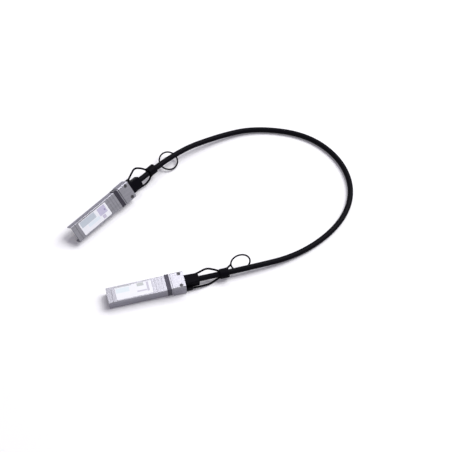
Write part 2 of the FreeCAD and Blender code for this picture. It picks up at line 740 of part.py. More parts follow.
def emi_gasket(end):
    """Conductive strip over the top and down both sides, proud of the body."""
    body = new_body("emi_gasket_" + end)
    inner = "(body_width / 2 - gasket_depth)"
    outer = "(body_width / 2 + gasket_proud)"
    ceiling = "body_height - gasket_depth"
    crown = "body_height + gasket_proud"
    foot = "gasket_foot + fit_gap"
    corner = "gasket_proud"
    section = [("-" + outer, foot), ("-" + inner, foot), ("-" + inner, ceiling), (inner, ceiling),
               (inner, foot), (outer, foot), (outer, "%s - %s" % (crown, corner)),
               ("%s - %s" % (outer, corner), crown), ("-%s + %s" % (outer, corner), crown),
               ("-" + outer, "%s - %s" % (crown, corner))]
    add(body, "YZ_Plane", [section], "gasket_start + fit_gap",
        "gasket_start + gasket_width - fit_gap")
    side = outer + " - groove_depth"
    top = crown + " - groove_depth"
    past = outer + " + over"
    below = foot + " - over"
    above = crown + " + over"
    groove = [("-(%s)" % past, below), ("-(%s)" % side, below),
              ("-(%s)" % side, "%s - %s" % (top, corner)),
              ("-(%s) + %s" % (side, corner), top), ("%s - %s" % (side, corner), top),
              (side, "%s - %s" % (top, corner)), (side, below), (past, below), (past, above),
              ("-(%s)" % past, above)]
    middle = "gasket_start + gasket_width / 2"
    cut(body, "YZ_Plane", [groove], middle + " - groove_width / 2", middle + " + groove_width / 2")
    return body


def shell_screws(end):
    body = new_body("shell_screws_" + end)
    seat = "body_height + head_rise - screw_sink"
    add(body, "XY_Plane", screw_circles("screw_radius - 2 * fit_gap"), "screw_tip", seat)
    add(body, "XY_Plane", screw_circles("screw_head_radius"), seat, seat + " + screw_head_height")
    cut(body, "XY_Plane", screw_circles("socket_radius"),
        seat + " + screw_head_height - socket_depth", seat + " + screw_head_height + over")
    return body


def label(end):
    body = new_body("label_" + end)
    floor = "body_height - label_recess"
    half = "label_width / 2"
    rear = "label_start + label_length"
    outline = [("label_start + label_corner", "-" + half), (rear + " - label_corner", "-" + half),
               (rear, "-%s + label_corner" % half), (rear, half + " - label_corner"),
               (rear + " - label_corner", half), ("label_start + label_corner", half),
               ("label_start", half + " - label_corner"), ("label_start", "-%s + label_corner" % half)]
    add(body, "XY_Plane", [outline], floor, floor + " + label_sheet")
    return body


# ---------------------------------------------------------------- release mechanism
def release_slider(end):
    """Stamped steel: two tines beside the boss, a window for the spring, two bent-up ears."""
    body = new_body("release_slider_" + end)
    low = "slider_lift"
    high = "slider_lift + slider_sheet"
    tine_inner = "slot_width / 2 - slider_play - tine_width"
    tine_outer = "slot_width / 2 - slider_play"
    web = "latch_shoulder + web_gap"
    wing = "channel_width / 2 - slider_play"
    add(body, "XY_Plane", [rectangle(web, "wing_start", "-(%s)" % tine_outer, tine_outer)],
        low, high)
    add(body, "XY_Plane", [rectangle("wing_start", "slider_end", "-(%s)" % wing, wing)], low, high)
    add(body, "XY_Plane", in_plan("tine_front", web, tine_inner, tine_outer), low, high)
    wedge = [("tine_front", low), ("tine_front", low + " - wedge_drop"),
             ("tine_front + wedge_length / 2", low + " - wedge_drop"),
             ("tine_front + wedge_length", low)]
    add(body, "XZ_Plane", [wedge], tine_inner, tine_outer)
    add(body, "XZ_Plane", [wedge], "-(%s)" % tine_outer, "-(%s)" % tine_inner)
    ear = rectangle("ear_start", "ear_end", low, low + " + ear_height")
    for side_low, side_high in (("ear_middle - slider_sheet / 2", "ear_middle + slider_sheet / 2"),
                                ("-ear_middle - slider_sheet / 2",
                                 "-ear_middle + slider_sheet / 2")):
        add(body, "XZ_Plane", [ear], side_low, side_high)
    cut(body, "XZ_Plane", [("ear_end - 2 * ear_hole", low + " + ear_height / 2", "ear_hole")],
        "-body_width", "body_width")
    cut(body, "XY_Plane", [plan("window_start", "post_start + post_length + fit_gap",
                                "window_width")], low + " - over", high + " + over")
    return body


def latch_cover(end):
    """Thin plate that keeps the slider in its channel."""
    body = new_body("latch_cover_" + end)
    low = "-head_drop"
    half = "(channel_width / 2 + cover_edge - fit_gap)"
    front = "head_start + stop_lip + fit_gap"
    rear = "plug_length - fit_gap"
    outline = [(front, "-%s + cover_corner" % half), (front + " + cover_corner", "-" + half),
               (rear, "-" + half), (rear, half), (front + " + cover_corner", half),
               (front, half + " - cover_corner")]
    add(body, "XY_Plane", [outline], low, low + " + cover_sheet")
    return body


def return_spring(end):
    """Serpentine strip between the slider's window and the fixed post."""
    sheet_gauge = size("spring_sheet")
    start = size("window_start") + size("fit_gap")
    reach = size("post_start") - size("fit_gap") - start - sheet_gauge
    folds = int(size("spring_folds"))
    half = size("window_width") / 2 - 2 * size("fit_gap")
    low = size("slider_lift") + size("spring_gap")
    tall = size("slider_sheet") - 2 * size("spring_gap")
    pieces = []
    for leg in range(folds + 1):
        place = start + reach * leg / folds
        pieces.append(Part.makeBox(sheet_gauge, 2 * half, tall, Vector(place, -half, low)))
        if leg < folds:
            edge = half - sheet_gauge if leg % 2 else -half
            pieces.append(Part.makeBox(reach / folds, sheet_gauge, tall, Vector(place, edge, low)))
    return feature("return_spring_" + end, pieces[0].multiFuse(pieces[1:]).removeSplitter())


def bent_path(points, share=ARC_SHARE):
    """Straight runs joined by tangent arcs, each as large as its two runs allow."""
    edges = []
    radii = []
    here = points[0]
    for before, corner, after in zip(points, points[1:], points[2:]):
        back = before - corner
        ahead = after - corner
        reach = share * min(back.Length, ahead.Length)
        turn = math.pi - back.getAngle(ahead)
        radius = reach / math.tan(turn / 2)
        back.normalize()
        ahead.normalize()
        start = corner + back * reach
        end = corner + ahead * reach
        middle = back + ahead
        middle.normalize()
        crest = corner + middle * (radius / math.cos(turn / 2) - radius)
        edges.append(Part.LineSegment(here, start).toShape())
        edges.append(Part.Arc(start, crest, end).toShape())
        radii.append(radius)
        here = end
    edges.append(Part.LineSegment(here, points[-1]).toShape())
    return Part.Wire(edges), radii


def tube(points, radius, share=ARC_SHARE):
    """A round bar along a bent path."""
    path, radii = bent_path(points, share)
    ring = Part.Wire(Part.Circle(points[0], points[1] - points[0], radius).toShape())
    bar = path.makePipeShell([ring], True, False)
    expected = math.pi * radius ** 2 * path.Length
    if abs(bar.Volume / expected - 1) > 0.01:
        raise RuntimeError("a tube came out with the wrong volume")
    return bar, path, radii


def around(along, radius, angle):
    """A point beside the cable: distance from its axis and angle from the plug's +Y side."""
    turn = math.radians(angle)
    return Vector(along, radius * math.cos(turn), size("cable_axis") + radius * math.sin(turn))


def lanyard_root(side):
    """Block moulded round one ear of the slider."""
    play = size("bore_gap")
    start = size("plug_length") + 3 * size("fit_gap")
    low = size("slider_lift")
    middle = side * size("ear_middle")
    width = size("root_width")
    block = Part.makeBox(size("root_length"), width, size("root_height"),
                         Vector(start, middle - width / 2, low))
    long_edges = [edge for edge in block.Edges
                  if edge.tangentAt(0).cross(Vector(1, 0, 0)).Length < 1e-6]
    block = block.makeFillet(width / 4, long_edges)
    gauge = size("slider_sheet") + 2 * play
    over = size("over")
    pocket = Part.makeBox(size("ear_end") + play - start + over, gauge,
                          size("ear_height") + play + over,
                          Vector(start - over, middle - gauge / 2, low - over))
    return block.cut(pocket)


def lanyard_arm(side, lay):
    """One arm, from its root beside the boot to the collar, bowed and twisted as it lies."""
    start = size("plug_length") + 3 * size("fit_gap") + size("root_length") - size("arm_bury")
    end = size("plug_length") + lay["collar"]
    root_up = size("slider_lift") + size("root_height") / 2 - size("cable_axis")
    root_radius = math.hypot(size("ear_middle"), root_up)
    base = 0 if side > 0 else 180
    root_angle = math.degrees(math.atan2(root_up, side * size("ear_middle"))) % 360
    root_angle = root_angle - 360 if side > 0 else root_angle
    bow = lay["bow"][0] if side > 0 else lay["bow"][1]
    seat = (size("collar_radius") + size("cable_radius") + size("collar_gap")) / 2
    radii = [root_radius, (root_radius + bow) / 2, bow, (bow + seat) / 2, seat]
    points = [around(start + part * (end - start), radius,
                     root_angle + share * (base + lay["twist"] - root_angle))
              for radius, (part, share) in zip(radii, ARM_COURSE)]
    points.append(around(end + size("over"), seat, base + lay["twist"]))
    return tube(points, size("arm_radius"))[0]


def pull_lanyard(end):
    """One moulding: two roots, two arms, the collar on the cable and the finger ring."""
    lay = LANYARD[end]
    turn, offset, shift = lay["ring"]
    angle = math.radians(turn)
    axis = size("cable_axis")
    collar_start = size("plug_length") + lay["collar"]
    collar_end = collar_start + size("collar_length")
    bore = size("cable_radius") + size("collar_gap")
    ahead = Vector(1, 0, 0)
    outside = Part.makeCylinder(size("collar_radius"), size("collar_length"),
                                Vector(collar_start, 0, axis), ahead)
    rims = [edge for edge in outside.Edges if edge.Curve.TypeId == "Part::GeomCircle"]
    outside = outside.makeFillet(size("arm_radius"), rims)
    over = size("over")
    hole = Part.makeCylinder(bore, size("collar_length") + 2 * over,
                             Vector(collar_start - over, 0, axis), ahead)

    away = Vector(0, math.sin(angle), -math.cos(angle))
    sideways = Vector(0, math.cos(angle), math.sin(angle))
    centre = Vector(collar_end + lay["ahead"], 0, axis) + away * offset + sideways * shift
    ring = Part.makeTorus(size("ring_radius"), size("ring_wire"), centre, away)
    rim = centre - ahead * size("ring_radius")
    lean = math.degrees(math.atan2(rim.z - axis, rim.y))
    seat = (size("collar_radius") + bore) / 2
    neck = tube([around(collar_end - size("neck_bury"), seat, lean),
                 around(collar_end - size("neck_edge"), seat, lean), rim], size("neck_radius"))[0]
    solids = [lanyard_root(1), lanyard_root(-1), lanyard_arm(1, lay), lanyard_arm(-1, lay),
              neck, ring]
    return feature("pull_lanyard_" + end, outside.multiFuse(solids).cut(hole).removeSplitter())


# ---------------------------------------------------------------- assembly
def feature(label_text, shape):
    item = doc.addObject("Part::Feature", label_text)
    item.Label = label_text
    item.Shape = shape
    return item


def cable_points(places):
    """Corner points of the cable's route, from plug_a's boot to plug_b's."""
    axis = size("cable_axis")
    seat = size("plug_length") + size("boot_length") - size("boot_bore_depth")
    ends = {}
    for end, place in places.items():
        ends[end] = [place.multVec(Vector(seat, 0, axis)),
                     place.multVec(Vector(size("plug_length") + STRAIGHT[end], 0, axis))]
    middle = [Vector(along - ORIGIN[0], across - ORIGIN[1], size("cable_radius") + lift)
              for along, across, lift in ROUTE]
    return ends["a"] + middle + ends["b"][::-1]


MAKERS = (bottom_shell, top_shell, paddle_card, edge_contacts, memory_chip, coupling_capacitors,
          wire_ends, insulated_cores, wire_comb, twinax_pairs, crimp_ferrule, boot, emi_gasket,
          shell_screws, label, release_slider, latch_cover, return_spring, pull_lanyard)

places = {end: plug_placement(end) for end in LAYOUT}
nodes = []
for end, place in places.items():
    for maker in MAKERS:
        item = maker(end)
        item.Placement = place
        nodes.append(item)

points = cable_points(places)
bar, path, radii = tube(points, size("cable_radius"))
nodes.append(feature("cable", bar))
print("cable length %.1f mm" % path.Length)
print("arc radii", " ".join("%.0f" % radius for radius in radii))
print("route", "; ".join("%.2f %.2f %.2f" % tuple(point) for point in points))

doc.recompute()
for item in doc.Objects:
    if "Invalid" in item.State or "Error" in item.State:
        raise RuntimeError("%s did not build: %s" % (item.Name, item.State))
    if item.TypeId == "PartDesign::Pocket" and item.BaseFeature.Shape.Volume <= item.Shape.Volume:
        raise RuntimeError("%s cut nothing" % item.Name)
for item in nodes:
    if item.Shape.isNull() or not item.Shape.isValid():
        raise RuntimeError("%s is not a valid shape" % item.Label)

os.makedirs("parts", exist_ok=True)
for item in nodes:
    item.Shape.exportStep(os.path.join("parts", item.Label + ".step"))
plugs = Part.makeCompound([item.Shape for item in nodes if item.Label != "cable"])
box = plugs.optimalBoundingBox(True)
print("plugs %.1f x %.1f x %.1f, centre %.3f %.3f, lowest %.3f"
      % (box.XLength, box.YLength, box.ZLength, box.Center.x, box.Center.y, box.ZMin))
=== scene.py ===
"""Finishes, soft cable, return springs and studio for a direct attach copper cable.

The frame carries every rigid piece.  This file lays the jacketed cable on its route, makes return
springs, gives each piece its finish, and sets a pale table under soft light.  Places inside a plug
are in metres, from its nose tip at x = 0 towards the cable, with y across and z up from its
underside.
"""
import math

import bmesh
import bpy
from bpy.props import FloatProperty, FloatVectorProperty, PointerProperty
from mathutils import Matrix, Vector


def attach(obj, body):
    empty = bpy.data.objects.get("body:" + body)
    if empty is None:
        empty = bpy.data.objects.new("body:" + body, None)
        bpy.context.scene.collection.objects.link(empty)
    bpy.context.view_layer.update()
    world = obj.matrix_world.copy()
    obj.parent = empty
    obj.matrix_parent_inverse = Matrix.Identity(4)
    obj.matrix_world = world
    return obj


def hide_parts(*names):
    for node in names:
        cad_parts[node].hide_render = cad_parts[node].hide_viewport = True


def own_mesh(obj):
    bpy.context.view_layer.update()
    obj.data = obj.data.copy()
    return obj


bl_info = {
    "name": "Direct attach copper cable",
    "version": (1, 0, 0),
    "blender": (4, 5, 0),
    "location": "3D View > Sidebar > Attach Cable",
    "description": "Lays the cable, makes its springs, finishes its pieces and sets the studio",
    "category": "Object",
}

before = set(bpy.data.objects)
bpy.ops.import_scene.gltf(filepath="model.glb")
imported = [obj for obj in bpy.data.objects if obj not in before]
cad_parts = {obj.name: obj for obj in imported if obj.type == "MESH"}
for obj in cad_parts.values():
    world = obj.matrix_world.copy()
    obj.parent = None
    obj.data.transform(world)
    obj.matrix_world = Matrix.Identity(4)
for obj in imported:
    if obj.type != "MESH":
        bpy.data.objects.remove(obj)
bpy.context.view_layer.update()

MM = 0.001
PLUGS = ("a", "b")

# How each plug lies: its nose tip, the way to the cable, across, and up from its underside
PLUG_FRAMES = {
    "a": (
        (-0.0655173, -0.0066916, 0.0039501),
        (0.695799, 0.718009, 0.018051),
        (-0.516675, 0.482919, 0.706992),
        (0.498909, -0.501251, 0.706992),
    ),
    "b": (
        (-0.0354175, -0.0624334, 0.0),
        (0.970213, 0.241901, 0.013071),
        (-0.241922, 0.970296, 0.0),
        (-0.012683, -0.003162, 0.999915),
    ),
}

# The cable's route, as the control points of one smooth line, and where it leaves plug a's boot
CABLE_ROUTE = (
    (-0.01835, 0.03761, 0.00816),
    (0.00823, 0.06504, 0.00885),
    (0.04543, 0.08575, 0.00460),
    (0.07423, 0.09495, 0.00215),
    (0.11333, 0.08865, 0.00215),
    (0.13913, 0.06515, 0.00215),
    (0.14773, 0.03375, 0.00215),
    (0.13623, 0.00285, 0.00215),
    (0.10493, -0.02375, 0.00215),
    (0.06640, -0.03705, 0.00565),
    (0.02730, -0.04680, 0.00512),
)

# The springs' facets are joined over gaps up to the first, and look smooth up to the second
SPRING_WELD = 0.001 * MM
SPRING_SMOOTH_ANGLE = math.radians(40.0)

# Colours of the pieces that the panel doesn't list
SPRING_STEEL = (0.50, 0.49, 0.50)
SCREW_STEEL = (0.075, 0.073, 0.08)
CONTACT_GOLD = (0.80, 0.56, 0.20)
COPPER = (0.72, 0.45, 0.30)
BRASS = (0.68, 0.52, 0.28)
COMB_RESIN = (0.55, 0.54, 0.50)
CHIP_RESIN = (0.02, 0.02, 0.022)
CAPACITOR_CERAMIC = (0.36, 0.27, 0.18)
CORE_INSULATION = (0.70, 0.71, 0.72)
SOLDER_MASK = (0.010, 0.075, 0.030)
MASKED_COPPER = (0.030, 0.150, 0.060)
DULL_FOIL = (0.62, 0.63, 0.65)
BRIGHT_FOIL = (0.80, 0.81, 0.82)

# Pitches of the gasket's knit, the card's tracks and the card's glass cloth
KNIT_PITCH = 0.42 * MM
TRACK_PITCH = 0.8 * MM
CLOTH_PITCH = 0.5 * MM

# How strongly the black boots and lanyards, and the jacket, mirror their surroundings
MOULDING_GLOSS = 0.03
JACKET_GLOSS = 0.04

# Nearly all values of a noise lie in the first range, and those of the sum of two in the second
ONE_NOISE = (0.3, 0.7)
TWO_NOISES = (0.6, 1.4)

# The Mix node's inputs when it mixes colours, and its output
MIX_SHARE, MIX_FIRST, MIX_SECOND = 0, 6, 7
MIX_RESULT = 2

# The point that camera and lamps are turned to
VIEW_POINT = (0.050028, 0.003453, 0.0)
SENSOR_WIDTH_MM = 36.0

# Each lamp's place, its diameter, and its power as a share of the key lamp's
LAMPS = {
    "key_lamp": ((1.28, 0.66, 2.08), 1.7, 1.0),
    "back_lamp": ((0.05, 1.22, 1.83), 0.5, 0.12),
}

# The table's half width, the size of its faint clouds, and the strength of its own light, which
# goes from the first value to the second between these two distances from the origin
TABLE_HALF_WIDTH = 6.0
TABLE_CLOUD = 0.05
TABLE_GLOW = (0.12, 1.0)
TABLE_GLOW_DISTANCE = (0.25, 1.5)

WHITE = (1.0, 1.0, 1.0)
SKY_FILL = (0.23, 0.21, 0.28)


def plug_matrix(plug):
    """Turns a place inside a plug into a place in the frame."""
    nose, along, across, up = (Vector(v) for v in PLUG_FRAMES[plug])
    turn = Matrix((along, across, up)).transposed().to_4x4()
    return Matrix.Translation(nose) @ turn


# ------------------------------------------------------------------ sizes and colours
class CableSizes(bpy.types.PropertyGroup):
    """Sizes of the free cable"""

    length: FloatProperty(
        name="Free length",
        description="Length of jacketed cable between the two boots",
        default=0.369,
        min=0.1,
        unit="LENGTH",
    )
    diameter: FloatProperty(
        name="Jacket diameter",
        description="Outside diameter of the jacket",
        default=0.0042,
        min=0.002,
        unit="LENGTH",
    )


class FinishColours(bpy.types.PropertyGroup):
    """Colours of the pieces that show most, and of the table"""

    casting: FloatVectorProperty(
        name="Casting",
        description="Satin nickel over the die-cast shells",
        default=(0.255, 0.25, 0.285),
        subtype="COLOR",
        min=0.0,
        max=1.0,
    )
    jacket: FloatVectorProperty(
        name="Jacket",
        description="Black jacket of the cable",
        default=(0.0026, 0.0024, 0.0042),
        subtype="COLOR",
        min=0.0,
        max=1.0,
    )
    moulding: FloatVectorProperty(
        name="Mouldings",
        description="Black boots and pull lanyards",
        default=(0.0022, 0.002, 0.0035),
        subtype="COLOR",
        min=0.0,
        max=1.0,
    )
    gasket: FloatVectorProperty(
        name="Gasket",
        description="Carbon-filled strip ahead of the head",
        default=(0.045, 0.042, 0.056),
        subtype="COLOR",
        min=0.0,
        max=1.0,
    )
    label: FloatVectorProperty(
        name="Label film",
        description="White film of the label",
        default=(0.86, 0.87, 0.89),
        subtype="COLOR",
        min=0.0,
        max=1.0,
    )
    table: FloatVectorProperty(
        name="Table",
        description="Pale top that the cable lies on",
        default=(0.90, 0.90, 0.90),
        subtype="COLOR",
        min=0.0,
        max=1.0,
    )


class StudioSettings(bpy.types.PropertyGroup):
    """Where the camera stands, and how strong the lamps are"""

    elevation: FloatProperty(
        name="Camera elevation",
        description="Angle of the camera above the table",
        default=math.radians(56.5),
        subtype="ANGLE",
    )
    distance: FloatProperty(
        name="Camera distance",
        description="From the camera to the point that it looks at",
        default=0.9667,
        unit="LENGTH",
    )
    lens: FloatProperty(
        name="Lens",
        description="Focal length in millimetres, on a 36 mm sensor",
        default=102.2,
        min=10.0,
    )
    key_power: FloatProperty(
        name="Key lamp",
        description="Power of the large soft lamp behind the object, in watts",
        default=60.0,
        min=0.0,
    )


# ------------------------------------------------------------------------ finishes
class Nodes:
    """Adds nodes to one tree.  An input is given as its value or as the output that feeds it."""

    def __init__(self, tree):
        self.tree = tree

    def add(self, kind, inputs=None, **settings):
        """A node, with its settings and with values or links for its inputs."""
        made = self.tree.nodes.new("ShaderNode" + kind)
        for name, value in settings.items():
            setattr(made, name, value)
        for socket, value in (inputs or {}).items():
            if isinstance(value, bpy.types.NodeSocket):
                self.tree.links.new(value, made.inputs[socket])
            else:
                made.inputs[socket].default_value = value
        return made

    def math(self, operation, first, second=0.0):
        """One operation on two numbers, or on the first alone."""
        return self.add("Math", {0: first, 1: second}, operation=operation).outputs["Value"]

    def wave(self, distance, pitch):
        """-1 to 1 and back over each pitch."""
        return self.math("SINE", self.math("MULTIPLY", distance, math.tau / pitch))

    def spread(self, value, to=(0.0, 1.0), over=(0.0, 1.0)):
        """The range to, as value runs over the range over."""
        ranges = {"From Min": over[0], "From Max": over[1], "To Min": to[0], "To Max": to[1]}
        return self.add("MapRange", {"Value": value, **ranges}).outputs["Result"]

    def mix(self, share, first, second):
        """Colour that goes from first to second as share rises."""
        first, second = (
            colour if isinstance(colour, bpy.types.NodeSocket) else (*colour, 1.0)
            for colour in (first, second)
        )
        inputs = {MIX_SHARE: share, MIX_FIRST: first, MIX_SECOND: second}
        return self.add("Mix", inputs, data_type="RGBA").outputs[MIX_RESULT]

    def seen_white(self):
        """1 for rays that show the backdrop itself: straight, mirrored or through glass."""
        rays = self.add("LightPath").outputs
        share = self.math("MAXIMUM", rays["Is Camera Ray"], rays["Is Glossy Ray"])
        return self.math("MAXIMUM", share, rays["Is Transmission Ray"])


class Finish(Nodes):
    """One material's nodes.  A number that is the same all over sits on the shader itself."""

    def __init__(self, name, **constants):
        self.material = bpy.data.materials.new(name)
        self.material.use_nodes = True
        super().__init__(self.material.node_tree)
        self.shader = self.tree.nodes["Principled BSDF"]
        for socket, value in constants.items():
            self.shader.inputs[socket.replace("_", " ")].default_value = value

    def link(self, output, socket):
        """Feeds one of the shader's inputs."""
        self.tree.links.new(output, self.shader.inputs[socket])

    def place(self, plug=None, stretch=None):
        """Object coordinates, in the plug's own directions where a plug is named."""
        vector = self.add("TexCoord").outputs["Object"]
        if plug:
            nose, turn, _ = plug_matrix(plug).decompose()
            vector = self.add(
                "Mapping",
                {"Vector": vector, "Location": nose, "Rotation": turn.to_euler()},
                vector_type="TEXTURE",
            ).outputs["Vector"]
        if stretch:
            vector = self.add("Mapping", {"Vector": vector, "Scale": stretch}).outputs["Vector"]
        return vector

    def axes(self, vector):
        """The vector's X, Y and Z."""
        return self.add("SeparateXYZ", {"Vector": vector}).outputs

    def noise(self, vector, size, detail=3.0, roughness=0.5):
        """Cloudy pattern whose blotches are about size metres across."""
        return self.add(
            "TexNoise",
            {"Vector": vector, "Scale": 1.0 / size, "Detail": detail, "Roughness": roughness},
        ).outputs["Fac"]

    def cells(self, vector, size):
        """Distance from the middle of cells about size metres across."""
        return self.add("TexVoronoi", {"Vector": vector, "Scale": 1.0 / size}).outputs["Distance"]

    def bump(self, height, depth, strength=1.0, under=None):
        """Normals of a relief depth metres high, laid over the normals under."""
        inputs = {"Height": height, "Distance": depth, "Strength": strength}
        if under is not None:
            inputs["Normal"] = under
        return self.add("Bump", inputs).outputs["Normal"]

    def rounded(self, radius):
        """Normals that turn smoothly over each sharp edge."""
        return self.add("Bevel", {"Radius": radius}, samples=4).outputs["Normal"]

    def worn_edges(self, radius):
        """1 along the edges that a hand or a cage rubs, 0 on the flats."""
        normal = self.add("NewGeometry").outputs["Normal"]
        agreement = self.add(
            "VectorMath", {0: normal, 1: self.rounded(radius)}, operation="DOT_PRODUCT"
        ).outputs["Value"]
        return self.spread(agreement, to=(1.0, 0.0), over=(0.80, 0.995))

    def painted_seam_shade(self, reach):
        """0 deep in seams and grooves, where shade falls, rising to 1 on open faces: the mask of
        painted shade.
        """
        open_share = self.add("AmbientOcclusion", {"Distance": reach}, samples=6).outputs["AO"]
        return self.spread(open_share, over=(0.25, 0.75))

    def field(self, axes, x_range, y_range):
        """1 inside a rectangle of the plug's plan, 0 outside it."""
        share = None
        for axis, (low, high) in (("X", x_range), ("Y", y_range)):
            for operation, edge in (("GREATER_THAN", low), ("LESS_THAN", high)):
                inside = self.math(operation, axes[axis], edge)
                share = inside if share is None else self.math("MULTIPLY", share, inside)
        return share


def shade(colour, factor):
    """The colour made darker or lighter."""
    return tuple(min(1.0, channel * factor) for channel in colour)


def cast_finish(name, plug, colour):
    """Satin nickel over a zinc casting: faint flow marks, fine grain, bright rubbed edges, and
    painted shade in its seams and grooves.
    """
    made = Finish(name, Metallic=1.0, Specular_Tint=(0.65, 0.65, 0.68, 1.0))
    where = made.place(plug)
    drawn = made.place(plug, stretch=(0.12, 1.0, 1.0))
    flow = made.noise(drawn, 2.2 * MM, detail=4.0, roughness=0.6)
    grain = made.noise(where, 0.09 * MM, detail=2.0)
    wear = made.worn_edges(0.12 * MM)
    rubbed = made.math("MULTIPLY", wear, made.noise(where, 0.8 * MM))
    body = made.mix(made.spread(flow, over=ONE_NOISE), shade(colour, 0.88), shade(colour, 1.1))
    # Painted shade: the casting darkens towards 0.35 of its colour in seams and grooves, where
    # shade falls.
    body = made.mix(made.painted_seam_shade(0.7 * MM), shade(colour, 0.35), body)
    made.link(made.mix(rubbed, body, shade(colour, 1.6)), "Base Color")
    rough = made.spread(made.math("ADD", flow, grain), to=(0.24, 0.40), over=TWO_NOISES)
    made.link(made.math("SUBTRACT", rough, made.math("MULTIPLY", rubbed, 0.10)), "Roughness")
    relief = made.bump(flow, 0.012 * MM, strength=0.5, under=made.rounded(0.08 * MM))
    made.link(made.bump(grain, 0.006 * MM, strength=0.6, under=relief), "Normal")
    return made.material


def rolled_finish(name, plug, colour, size=0.25 * MM, rough=(0.22, 0.40)):
    """Rolled or drawn strip: fine lines along the plug."""
    made = Finish(name, Metallic=1.0, Anisotropic=0.5)
    drawn = made.place(plug, stretch=(0.03, 1.0, 1.0))
    lines = made.noise(drawn, size, roughness=0.6)
    cloud = made.noise(made.place(plug), 1.5 * MM)
    made.link(made.mix(lines, shade(colour, 0.85), shade(colour, 1.12)), "Base Color")
    made.link(made.spread(made.math("ADD", lines, cloud), to=rough, over=TWO_NOISES), "Roughness")
    relief = made.bump(lines, 0.003 * MM, strength=0.5, under=made.rounded(0.04 * MM))
    made.link(relief, "Normal")
    return made.material


def moulded_finish(name, colour, rough=(0.42, 0.60), grain=0.14 * MM, gloss=0.5):
    """Spark-eroded moulding: fine even grain, a little sheen where it is handled."""
    made = Finish(name, Specular_IOR_Level=gloss)
    where = made.place()
    fine = made.noise(where, grain, detail=2.0, roughness=0.6)
    cloud = made.noise(where, 4.0 * MM, detail=2.0)
    made.link(made.mix(cloud, shade(colour, 0.8), shade(colour, 1.5)), "Base Color")
    made.link(made.spread(made.math("ADD", fine, cloud), to=rough, over=TWO_NOISES), "Roughness")
    relief = made.bump(fine, 0.008 * MM, strength=0.7, under=made.rounded(0.08 * MM))
    made.link(relief, "Normal")
    return made.material


def plated_finish(name, colour, rough=(0.16, 0.32)):
    """Plated or turned metal: fine scuffs under a bright face."""
    made = Finish(name, Metallic=1.0)
    where = made.place()
    scuff = made.noise(where, 0.12 * MM, detail=4.0, roughness=0.65)
    cloud = made.noise(where, 0.9 * MM)
    made.link(made.mix(cloud, shade(colour, 0.85), shade(colour, 1.12)), "Base Color")
    made.link(made.spread(scuff, to=rough, over=ONE_NOISE), "Roughness")
    made.link(made.bump(scuff, 0.002 * MM, strength=0.5), "Normal")
    return made.material


def jacket_finish(colour):
    """Extruded jacket: a soft sheen, fine grain, dust and the unevenness of the shields below."""
    made = Finish("cable_jacket", Specular_IOR_Level=JACKET_GLOSS)
    where = made.place()
    fine = made.noise(where, 0.10 * MM, roughness=0.6)
    uneven = made.noise(where, 2.4 * MM, detail=2.0)
    specks = made.noise(where, 0.6 * MM, detail=4.0, roughness=0.7)
    dust = made.spread(specks, to=(0.0, 0.35), over=(0.62, 0.80))
    body = made.mix(uneven, shade(colour, 0.8), shade(colour, 1.4))
    made.link(made.mix(dust, body, shade(colour, 3.0)), "Base Color")
    rough = made.spread(made.math("ADD", fine, uneven), to=(0.36, 0.56), over=TWO_NOISES)
    made.link(rough, "Roughness")
    relief = made.bump(uneven, 0.012 * MM, strength=0.5)
    made.link(made.bump(fine, 0.006 * MM, strength=0.6, under=relief), "Normal")
    return made.material


def gasket_finish(name, plug, colour):
    """Woven conductive cover over foam: a fine diagonal knit with glints of metal."""
    made = Finish(name, IOR=1.45)
    axes = made.axes(made.place(plug))
    across = made.math("ADD", axes["Y"], axes["Z"])
    knit = made.math(
        "MAXIMUM",
        made.wave(made.math("ADD", axes["X"], across), KNIT_PITCH),
        made.wave(made.math("SUBTRACT", across, axes["X"]), KNIT_PITCH),
    )
    thread = made.spread(knit, over=(-0.6, 1.0))
    made.link(made.mix(thread, shade(colour, 0.35), shade(colour, 1.4)), "Base Color")
    made.link(made.spread(thread, to=(0.28, 0.45)), "Roughness")
    made.link(made.spread(thread, to=(0.7, 1.0)), "Metallic")
    made.link(made.bump(thread, 0.015 * MM, strength=0.8), "Normal")
    return made.material


# Plain fields of each label, in millimetres inside the plug: (x range, y range, colour)
LABEL_FIELDS = {
    "a": (
        ((7.3, 21.5), (0.3, 5.0), (0.47, 0.53, 0.58)),
        ((12.4, 23.4), (-2.6, -0.1), (0.74, 0.82, 0.86)),
        ((24.3, 31.5), (-1.5, 4.8), (0.50, 0.47, 0.62)),
        ((25.6, 28.6), (-4.5, -1.9), (0.52, 0.48, 0.60)),
        ((29.4, 30.6), (0.4, 1.8), (0.28, 0.25, 0.40)),
    ),
    "b": (
        ((6.8, 18.7), (4.6, 5.2), (0.40, 0.43, 0.43)),
        ((6.8, 16.6), (0.0, 3.9), (0.72, 0.81, 0.83)),
        ((22.4, 27.4), (2.3, 4.9), (0.46, 0.49, 0.47)),
        ((29.3, 30.9), (-3.0, 4.9), (0.52, 0.50, 0.58)),
        ((21.9, 29.0), (-2.4, -1.2), (0.54, 0.52, 0.60)),
    ),
}


def label_finish(name, plug, colour):
    """White polyester film with plain printed fields, faintly pebbled by the casting below."""
    made = Finish(name, IOR=1.5)
    where = made.place(plug)
    axes = made.axes(where)
    fibre = made.noise(where, 0.35 * MM)
    thin = made.spread(made.noise(where, 0.16 * MM, detail=2.0), to=(0.75, 1.0))
    body = made.mix(fibre, shade(colour, 0.94), shade(colour, 1.06))
    for x_range, y_range, ink in LABEL_FIELDS[plug]:
        inside = made.field(axes, [v * MM for v in x_range], [v * MM for v in y_range])
        body = made.mix(made.math("MULTIPLY", inside, thin), body, ink)
    made.link(body, "Base Color")
    made.link(made.spread(fibre, to=(0.30, 0.46), over=ONE_NOISE), "Roughness")
    relief = made.bump(fibre, 0.006 * MM, strength=0.4, under=made.rounded(0.05 * MM))
    made.link(relief, "Normal")
    return made.material


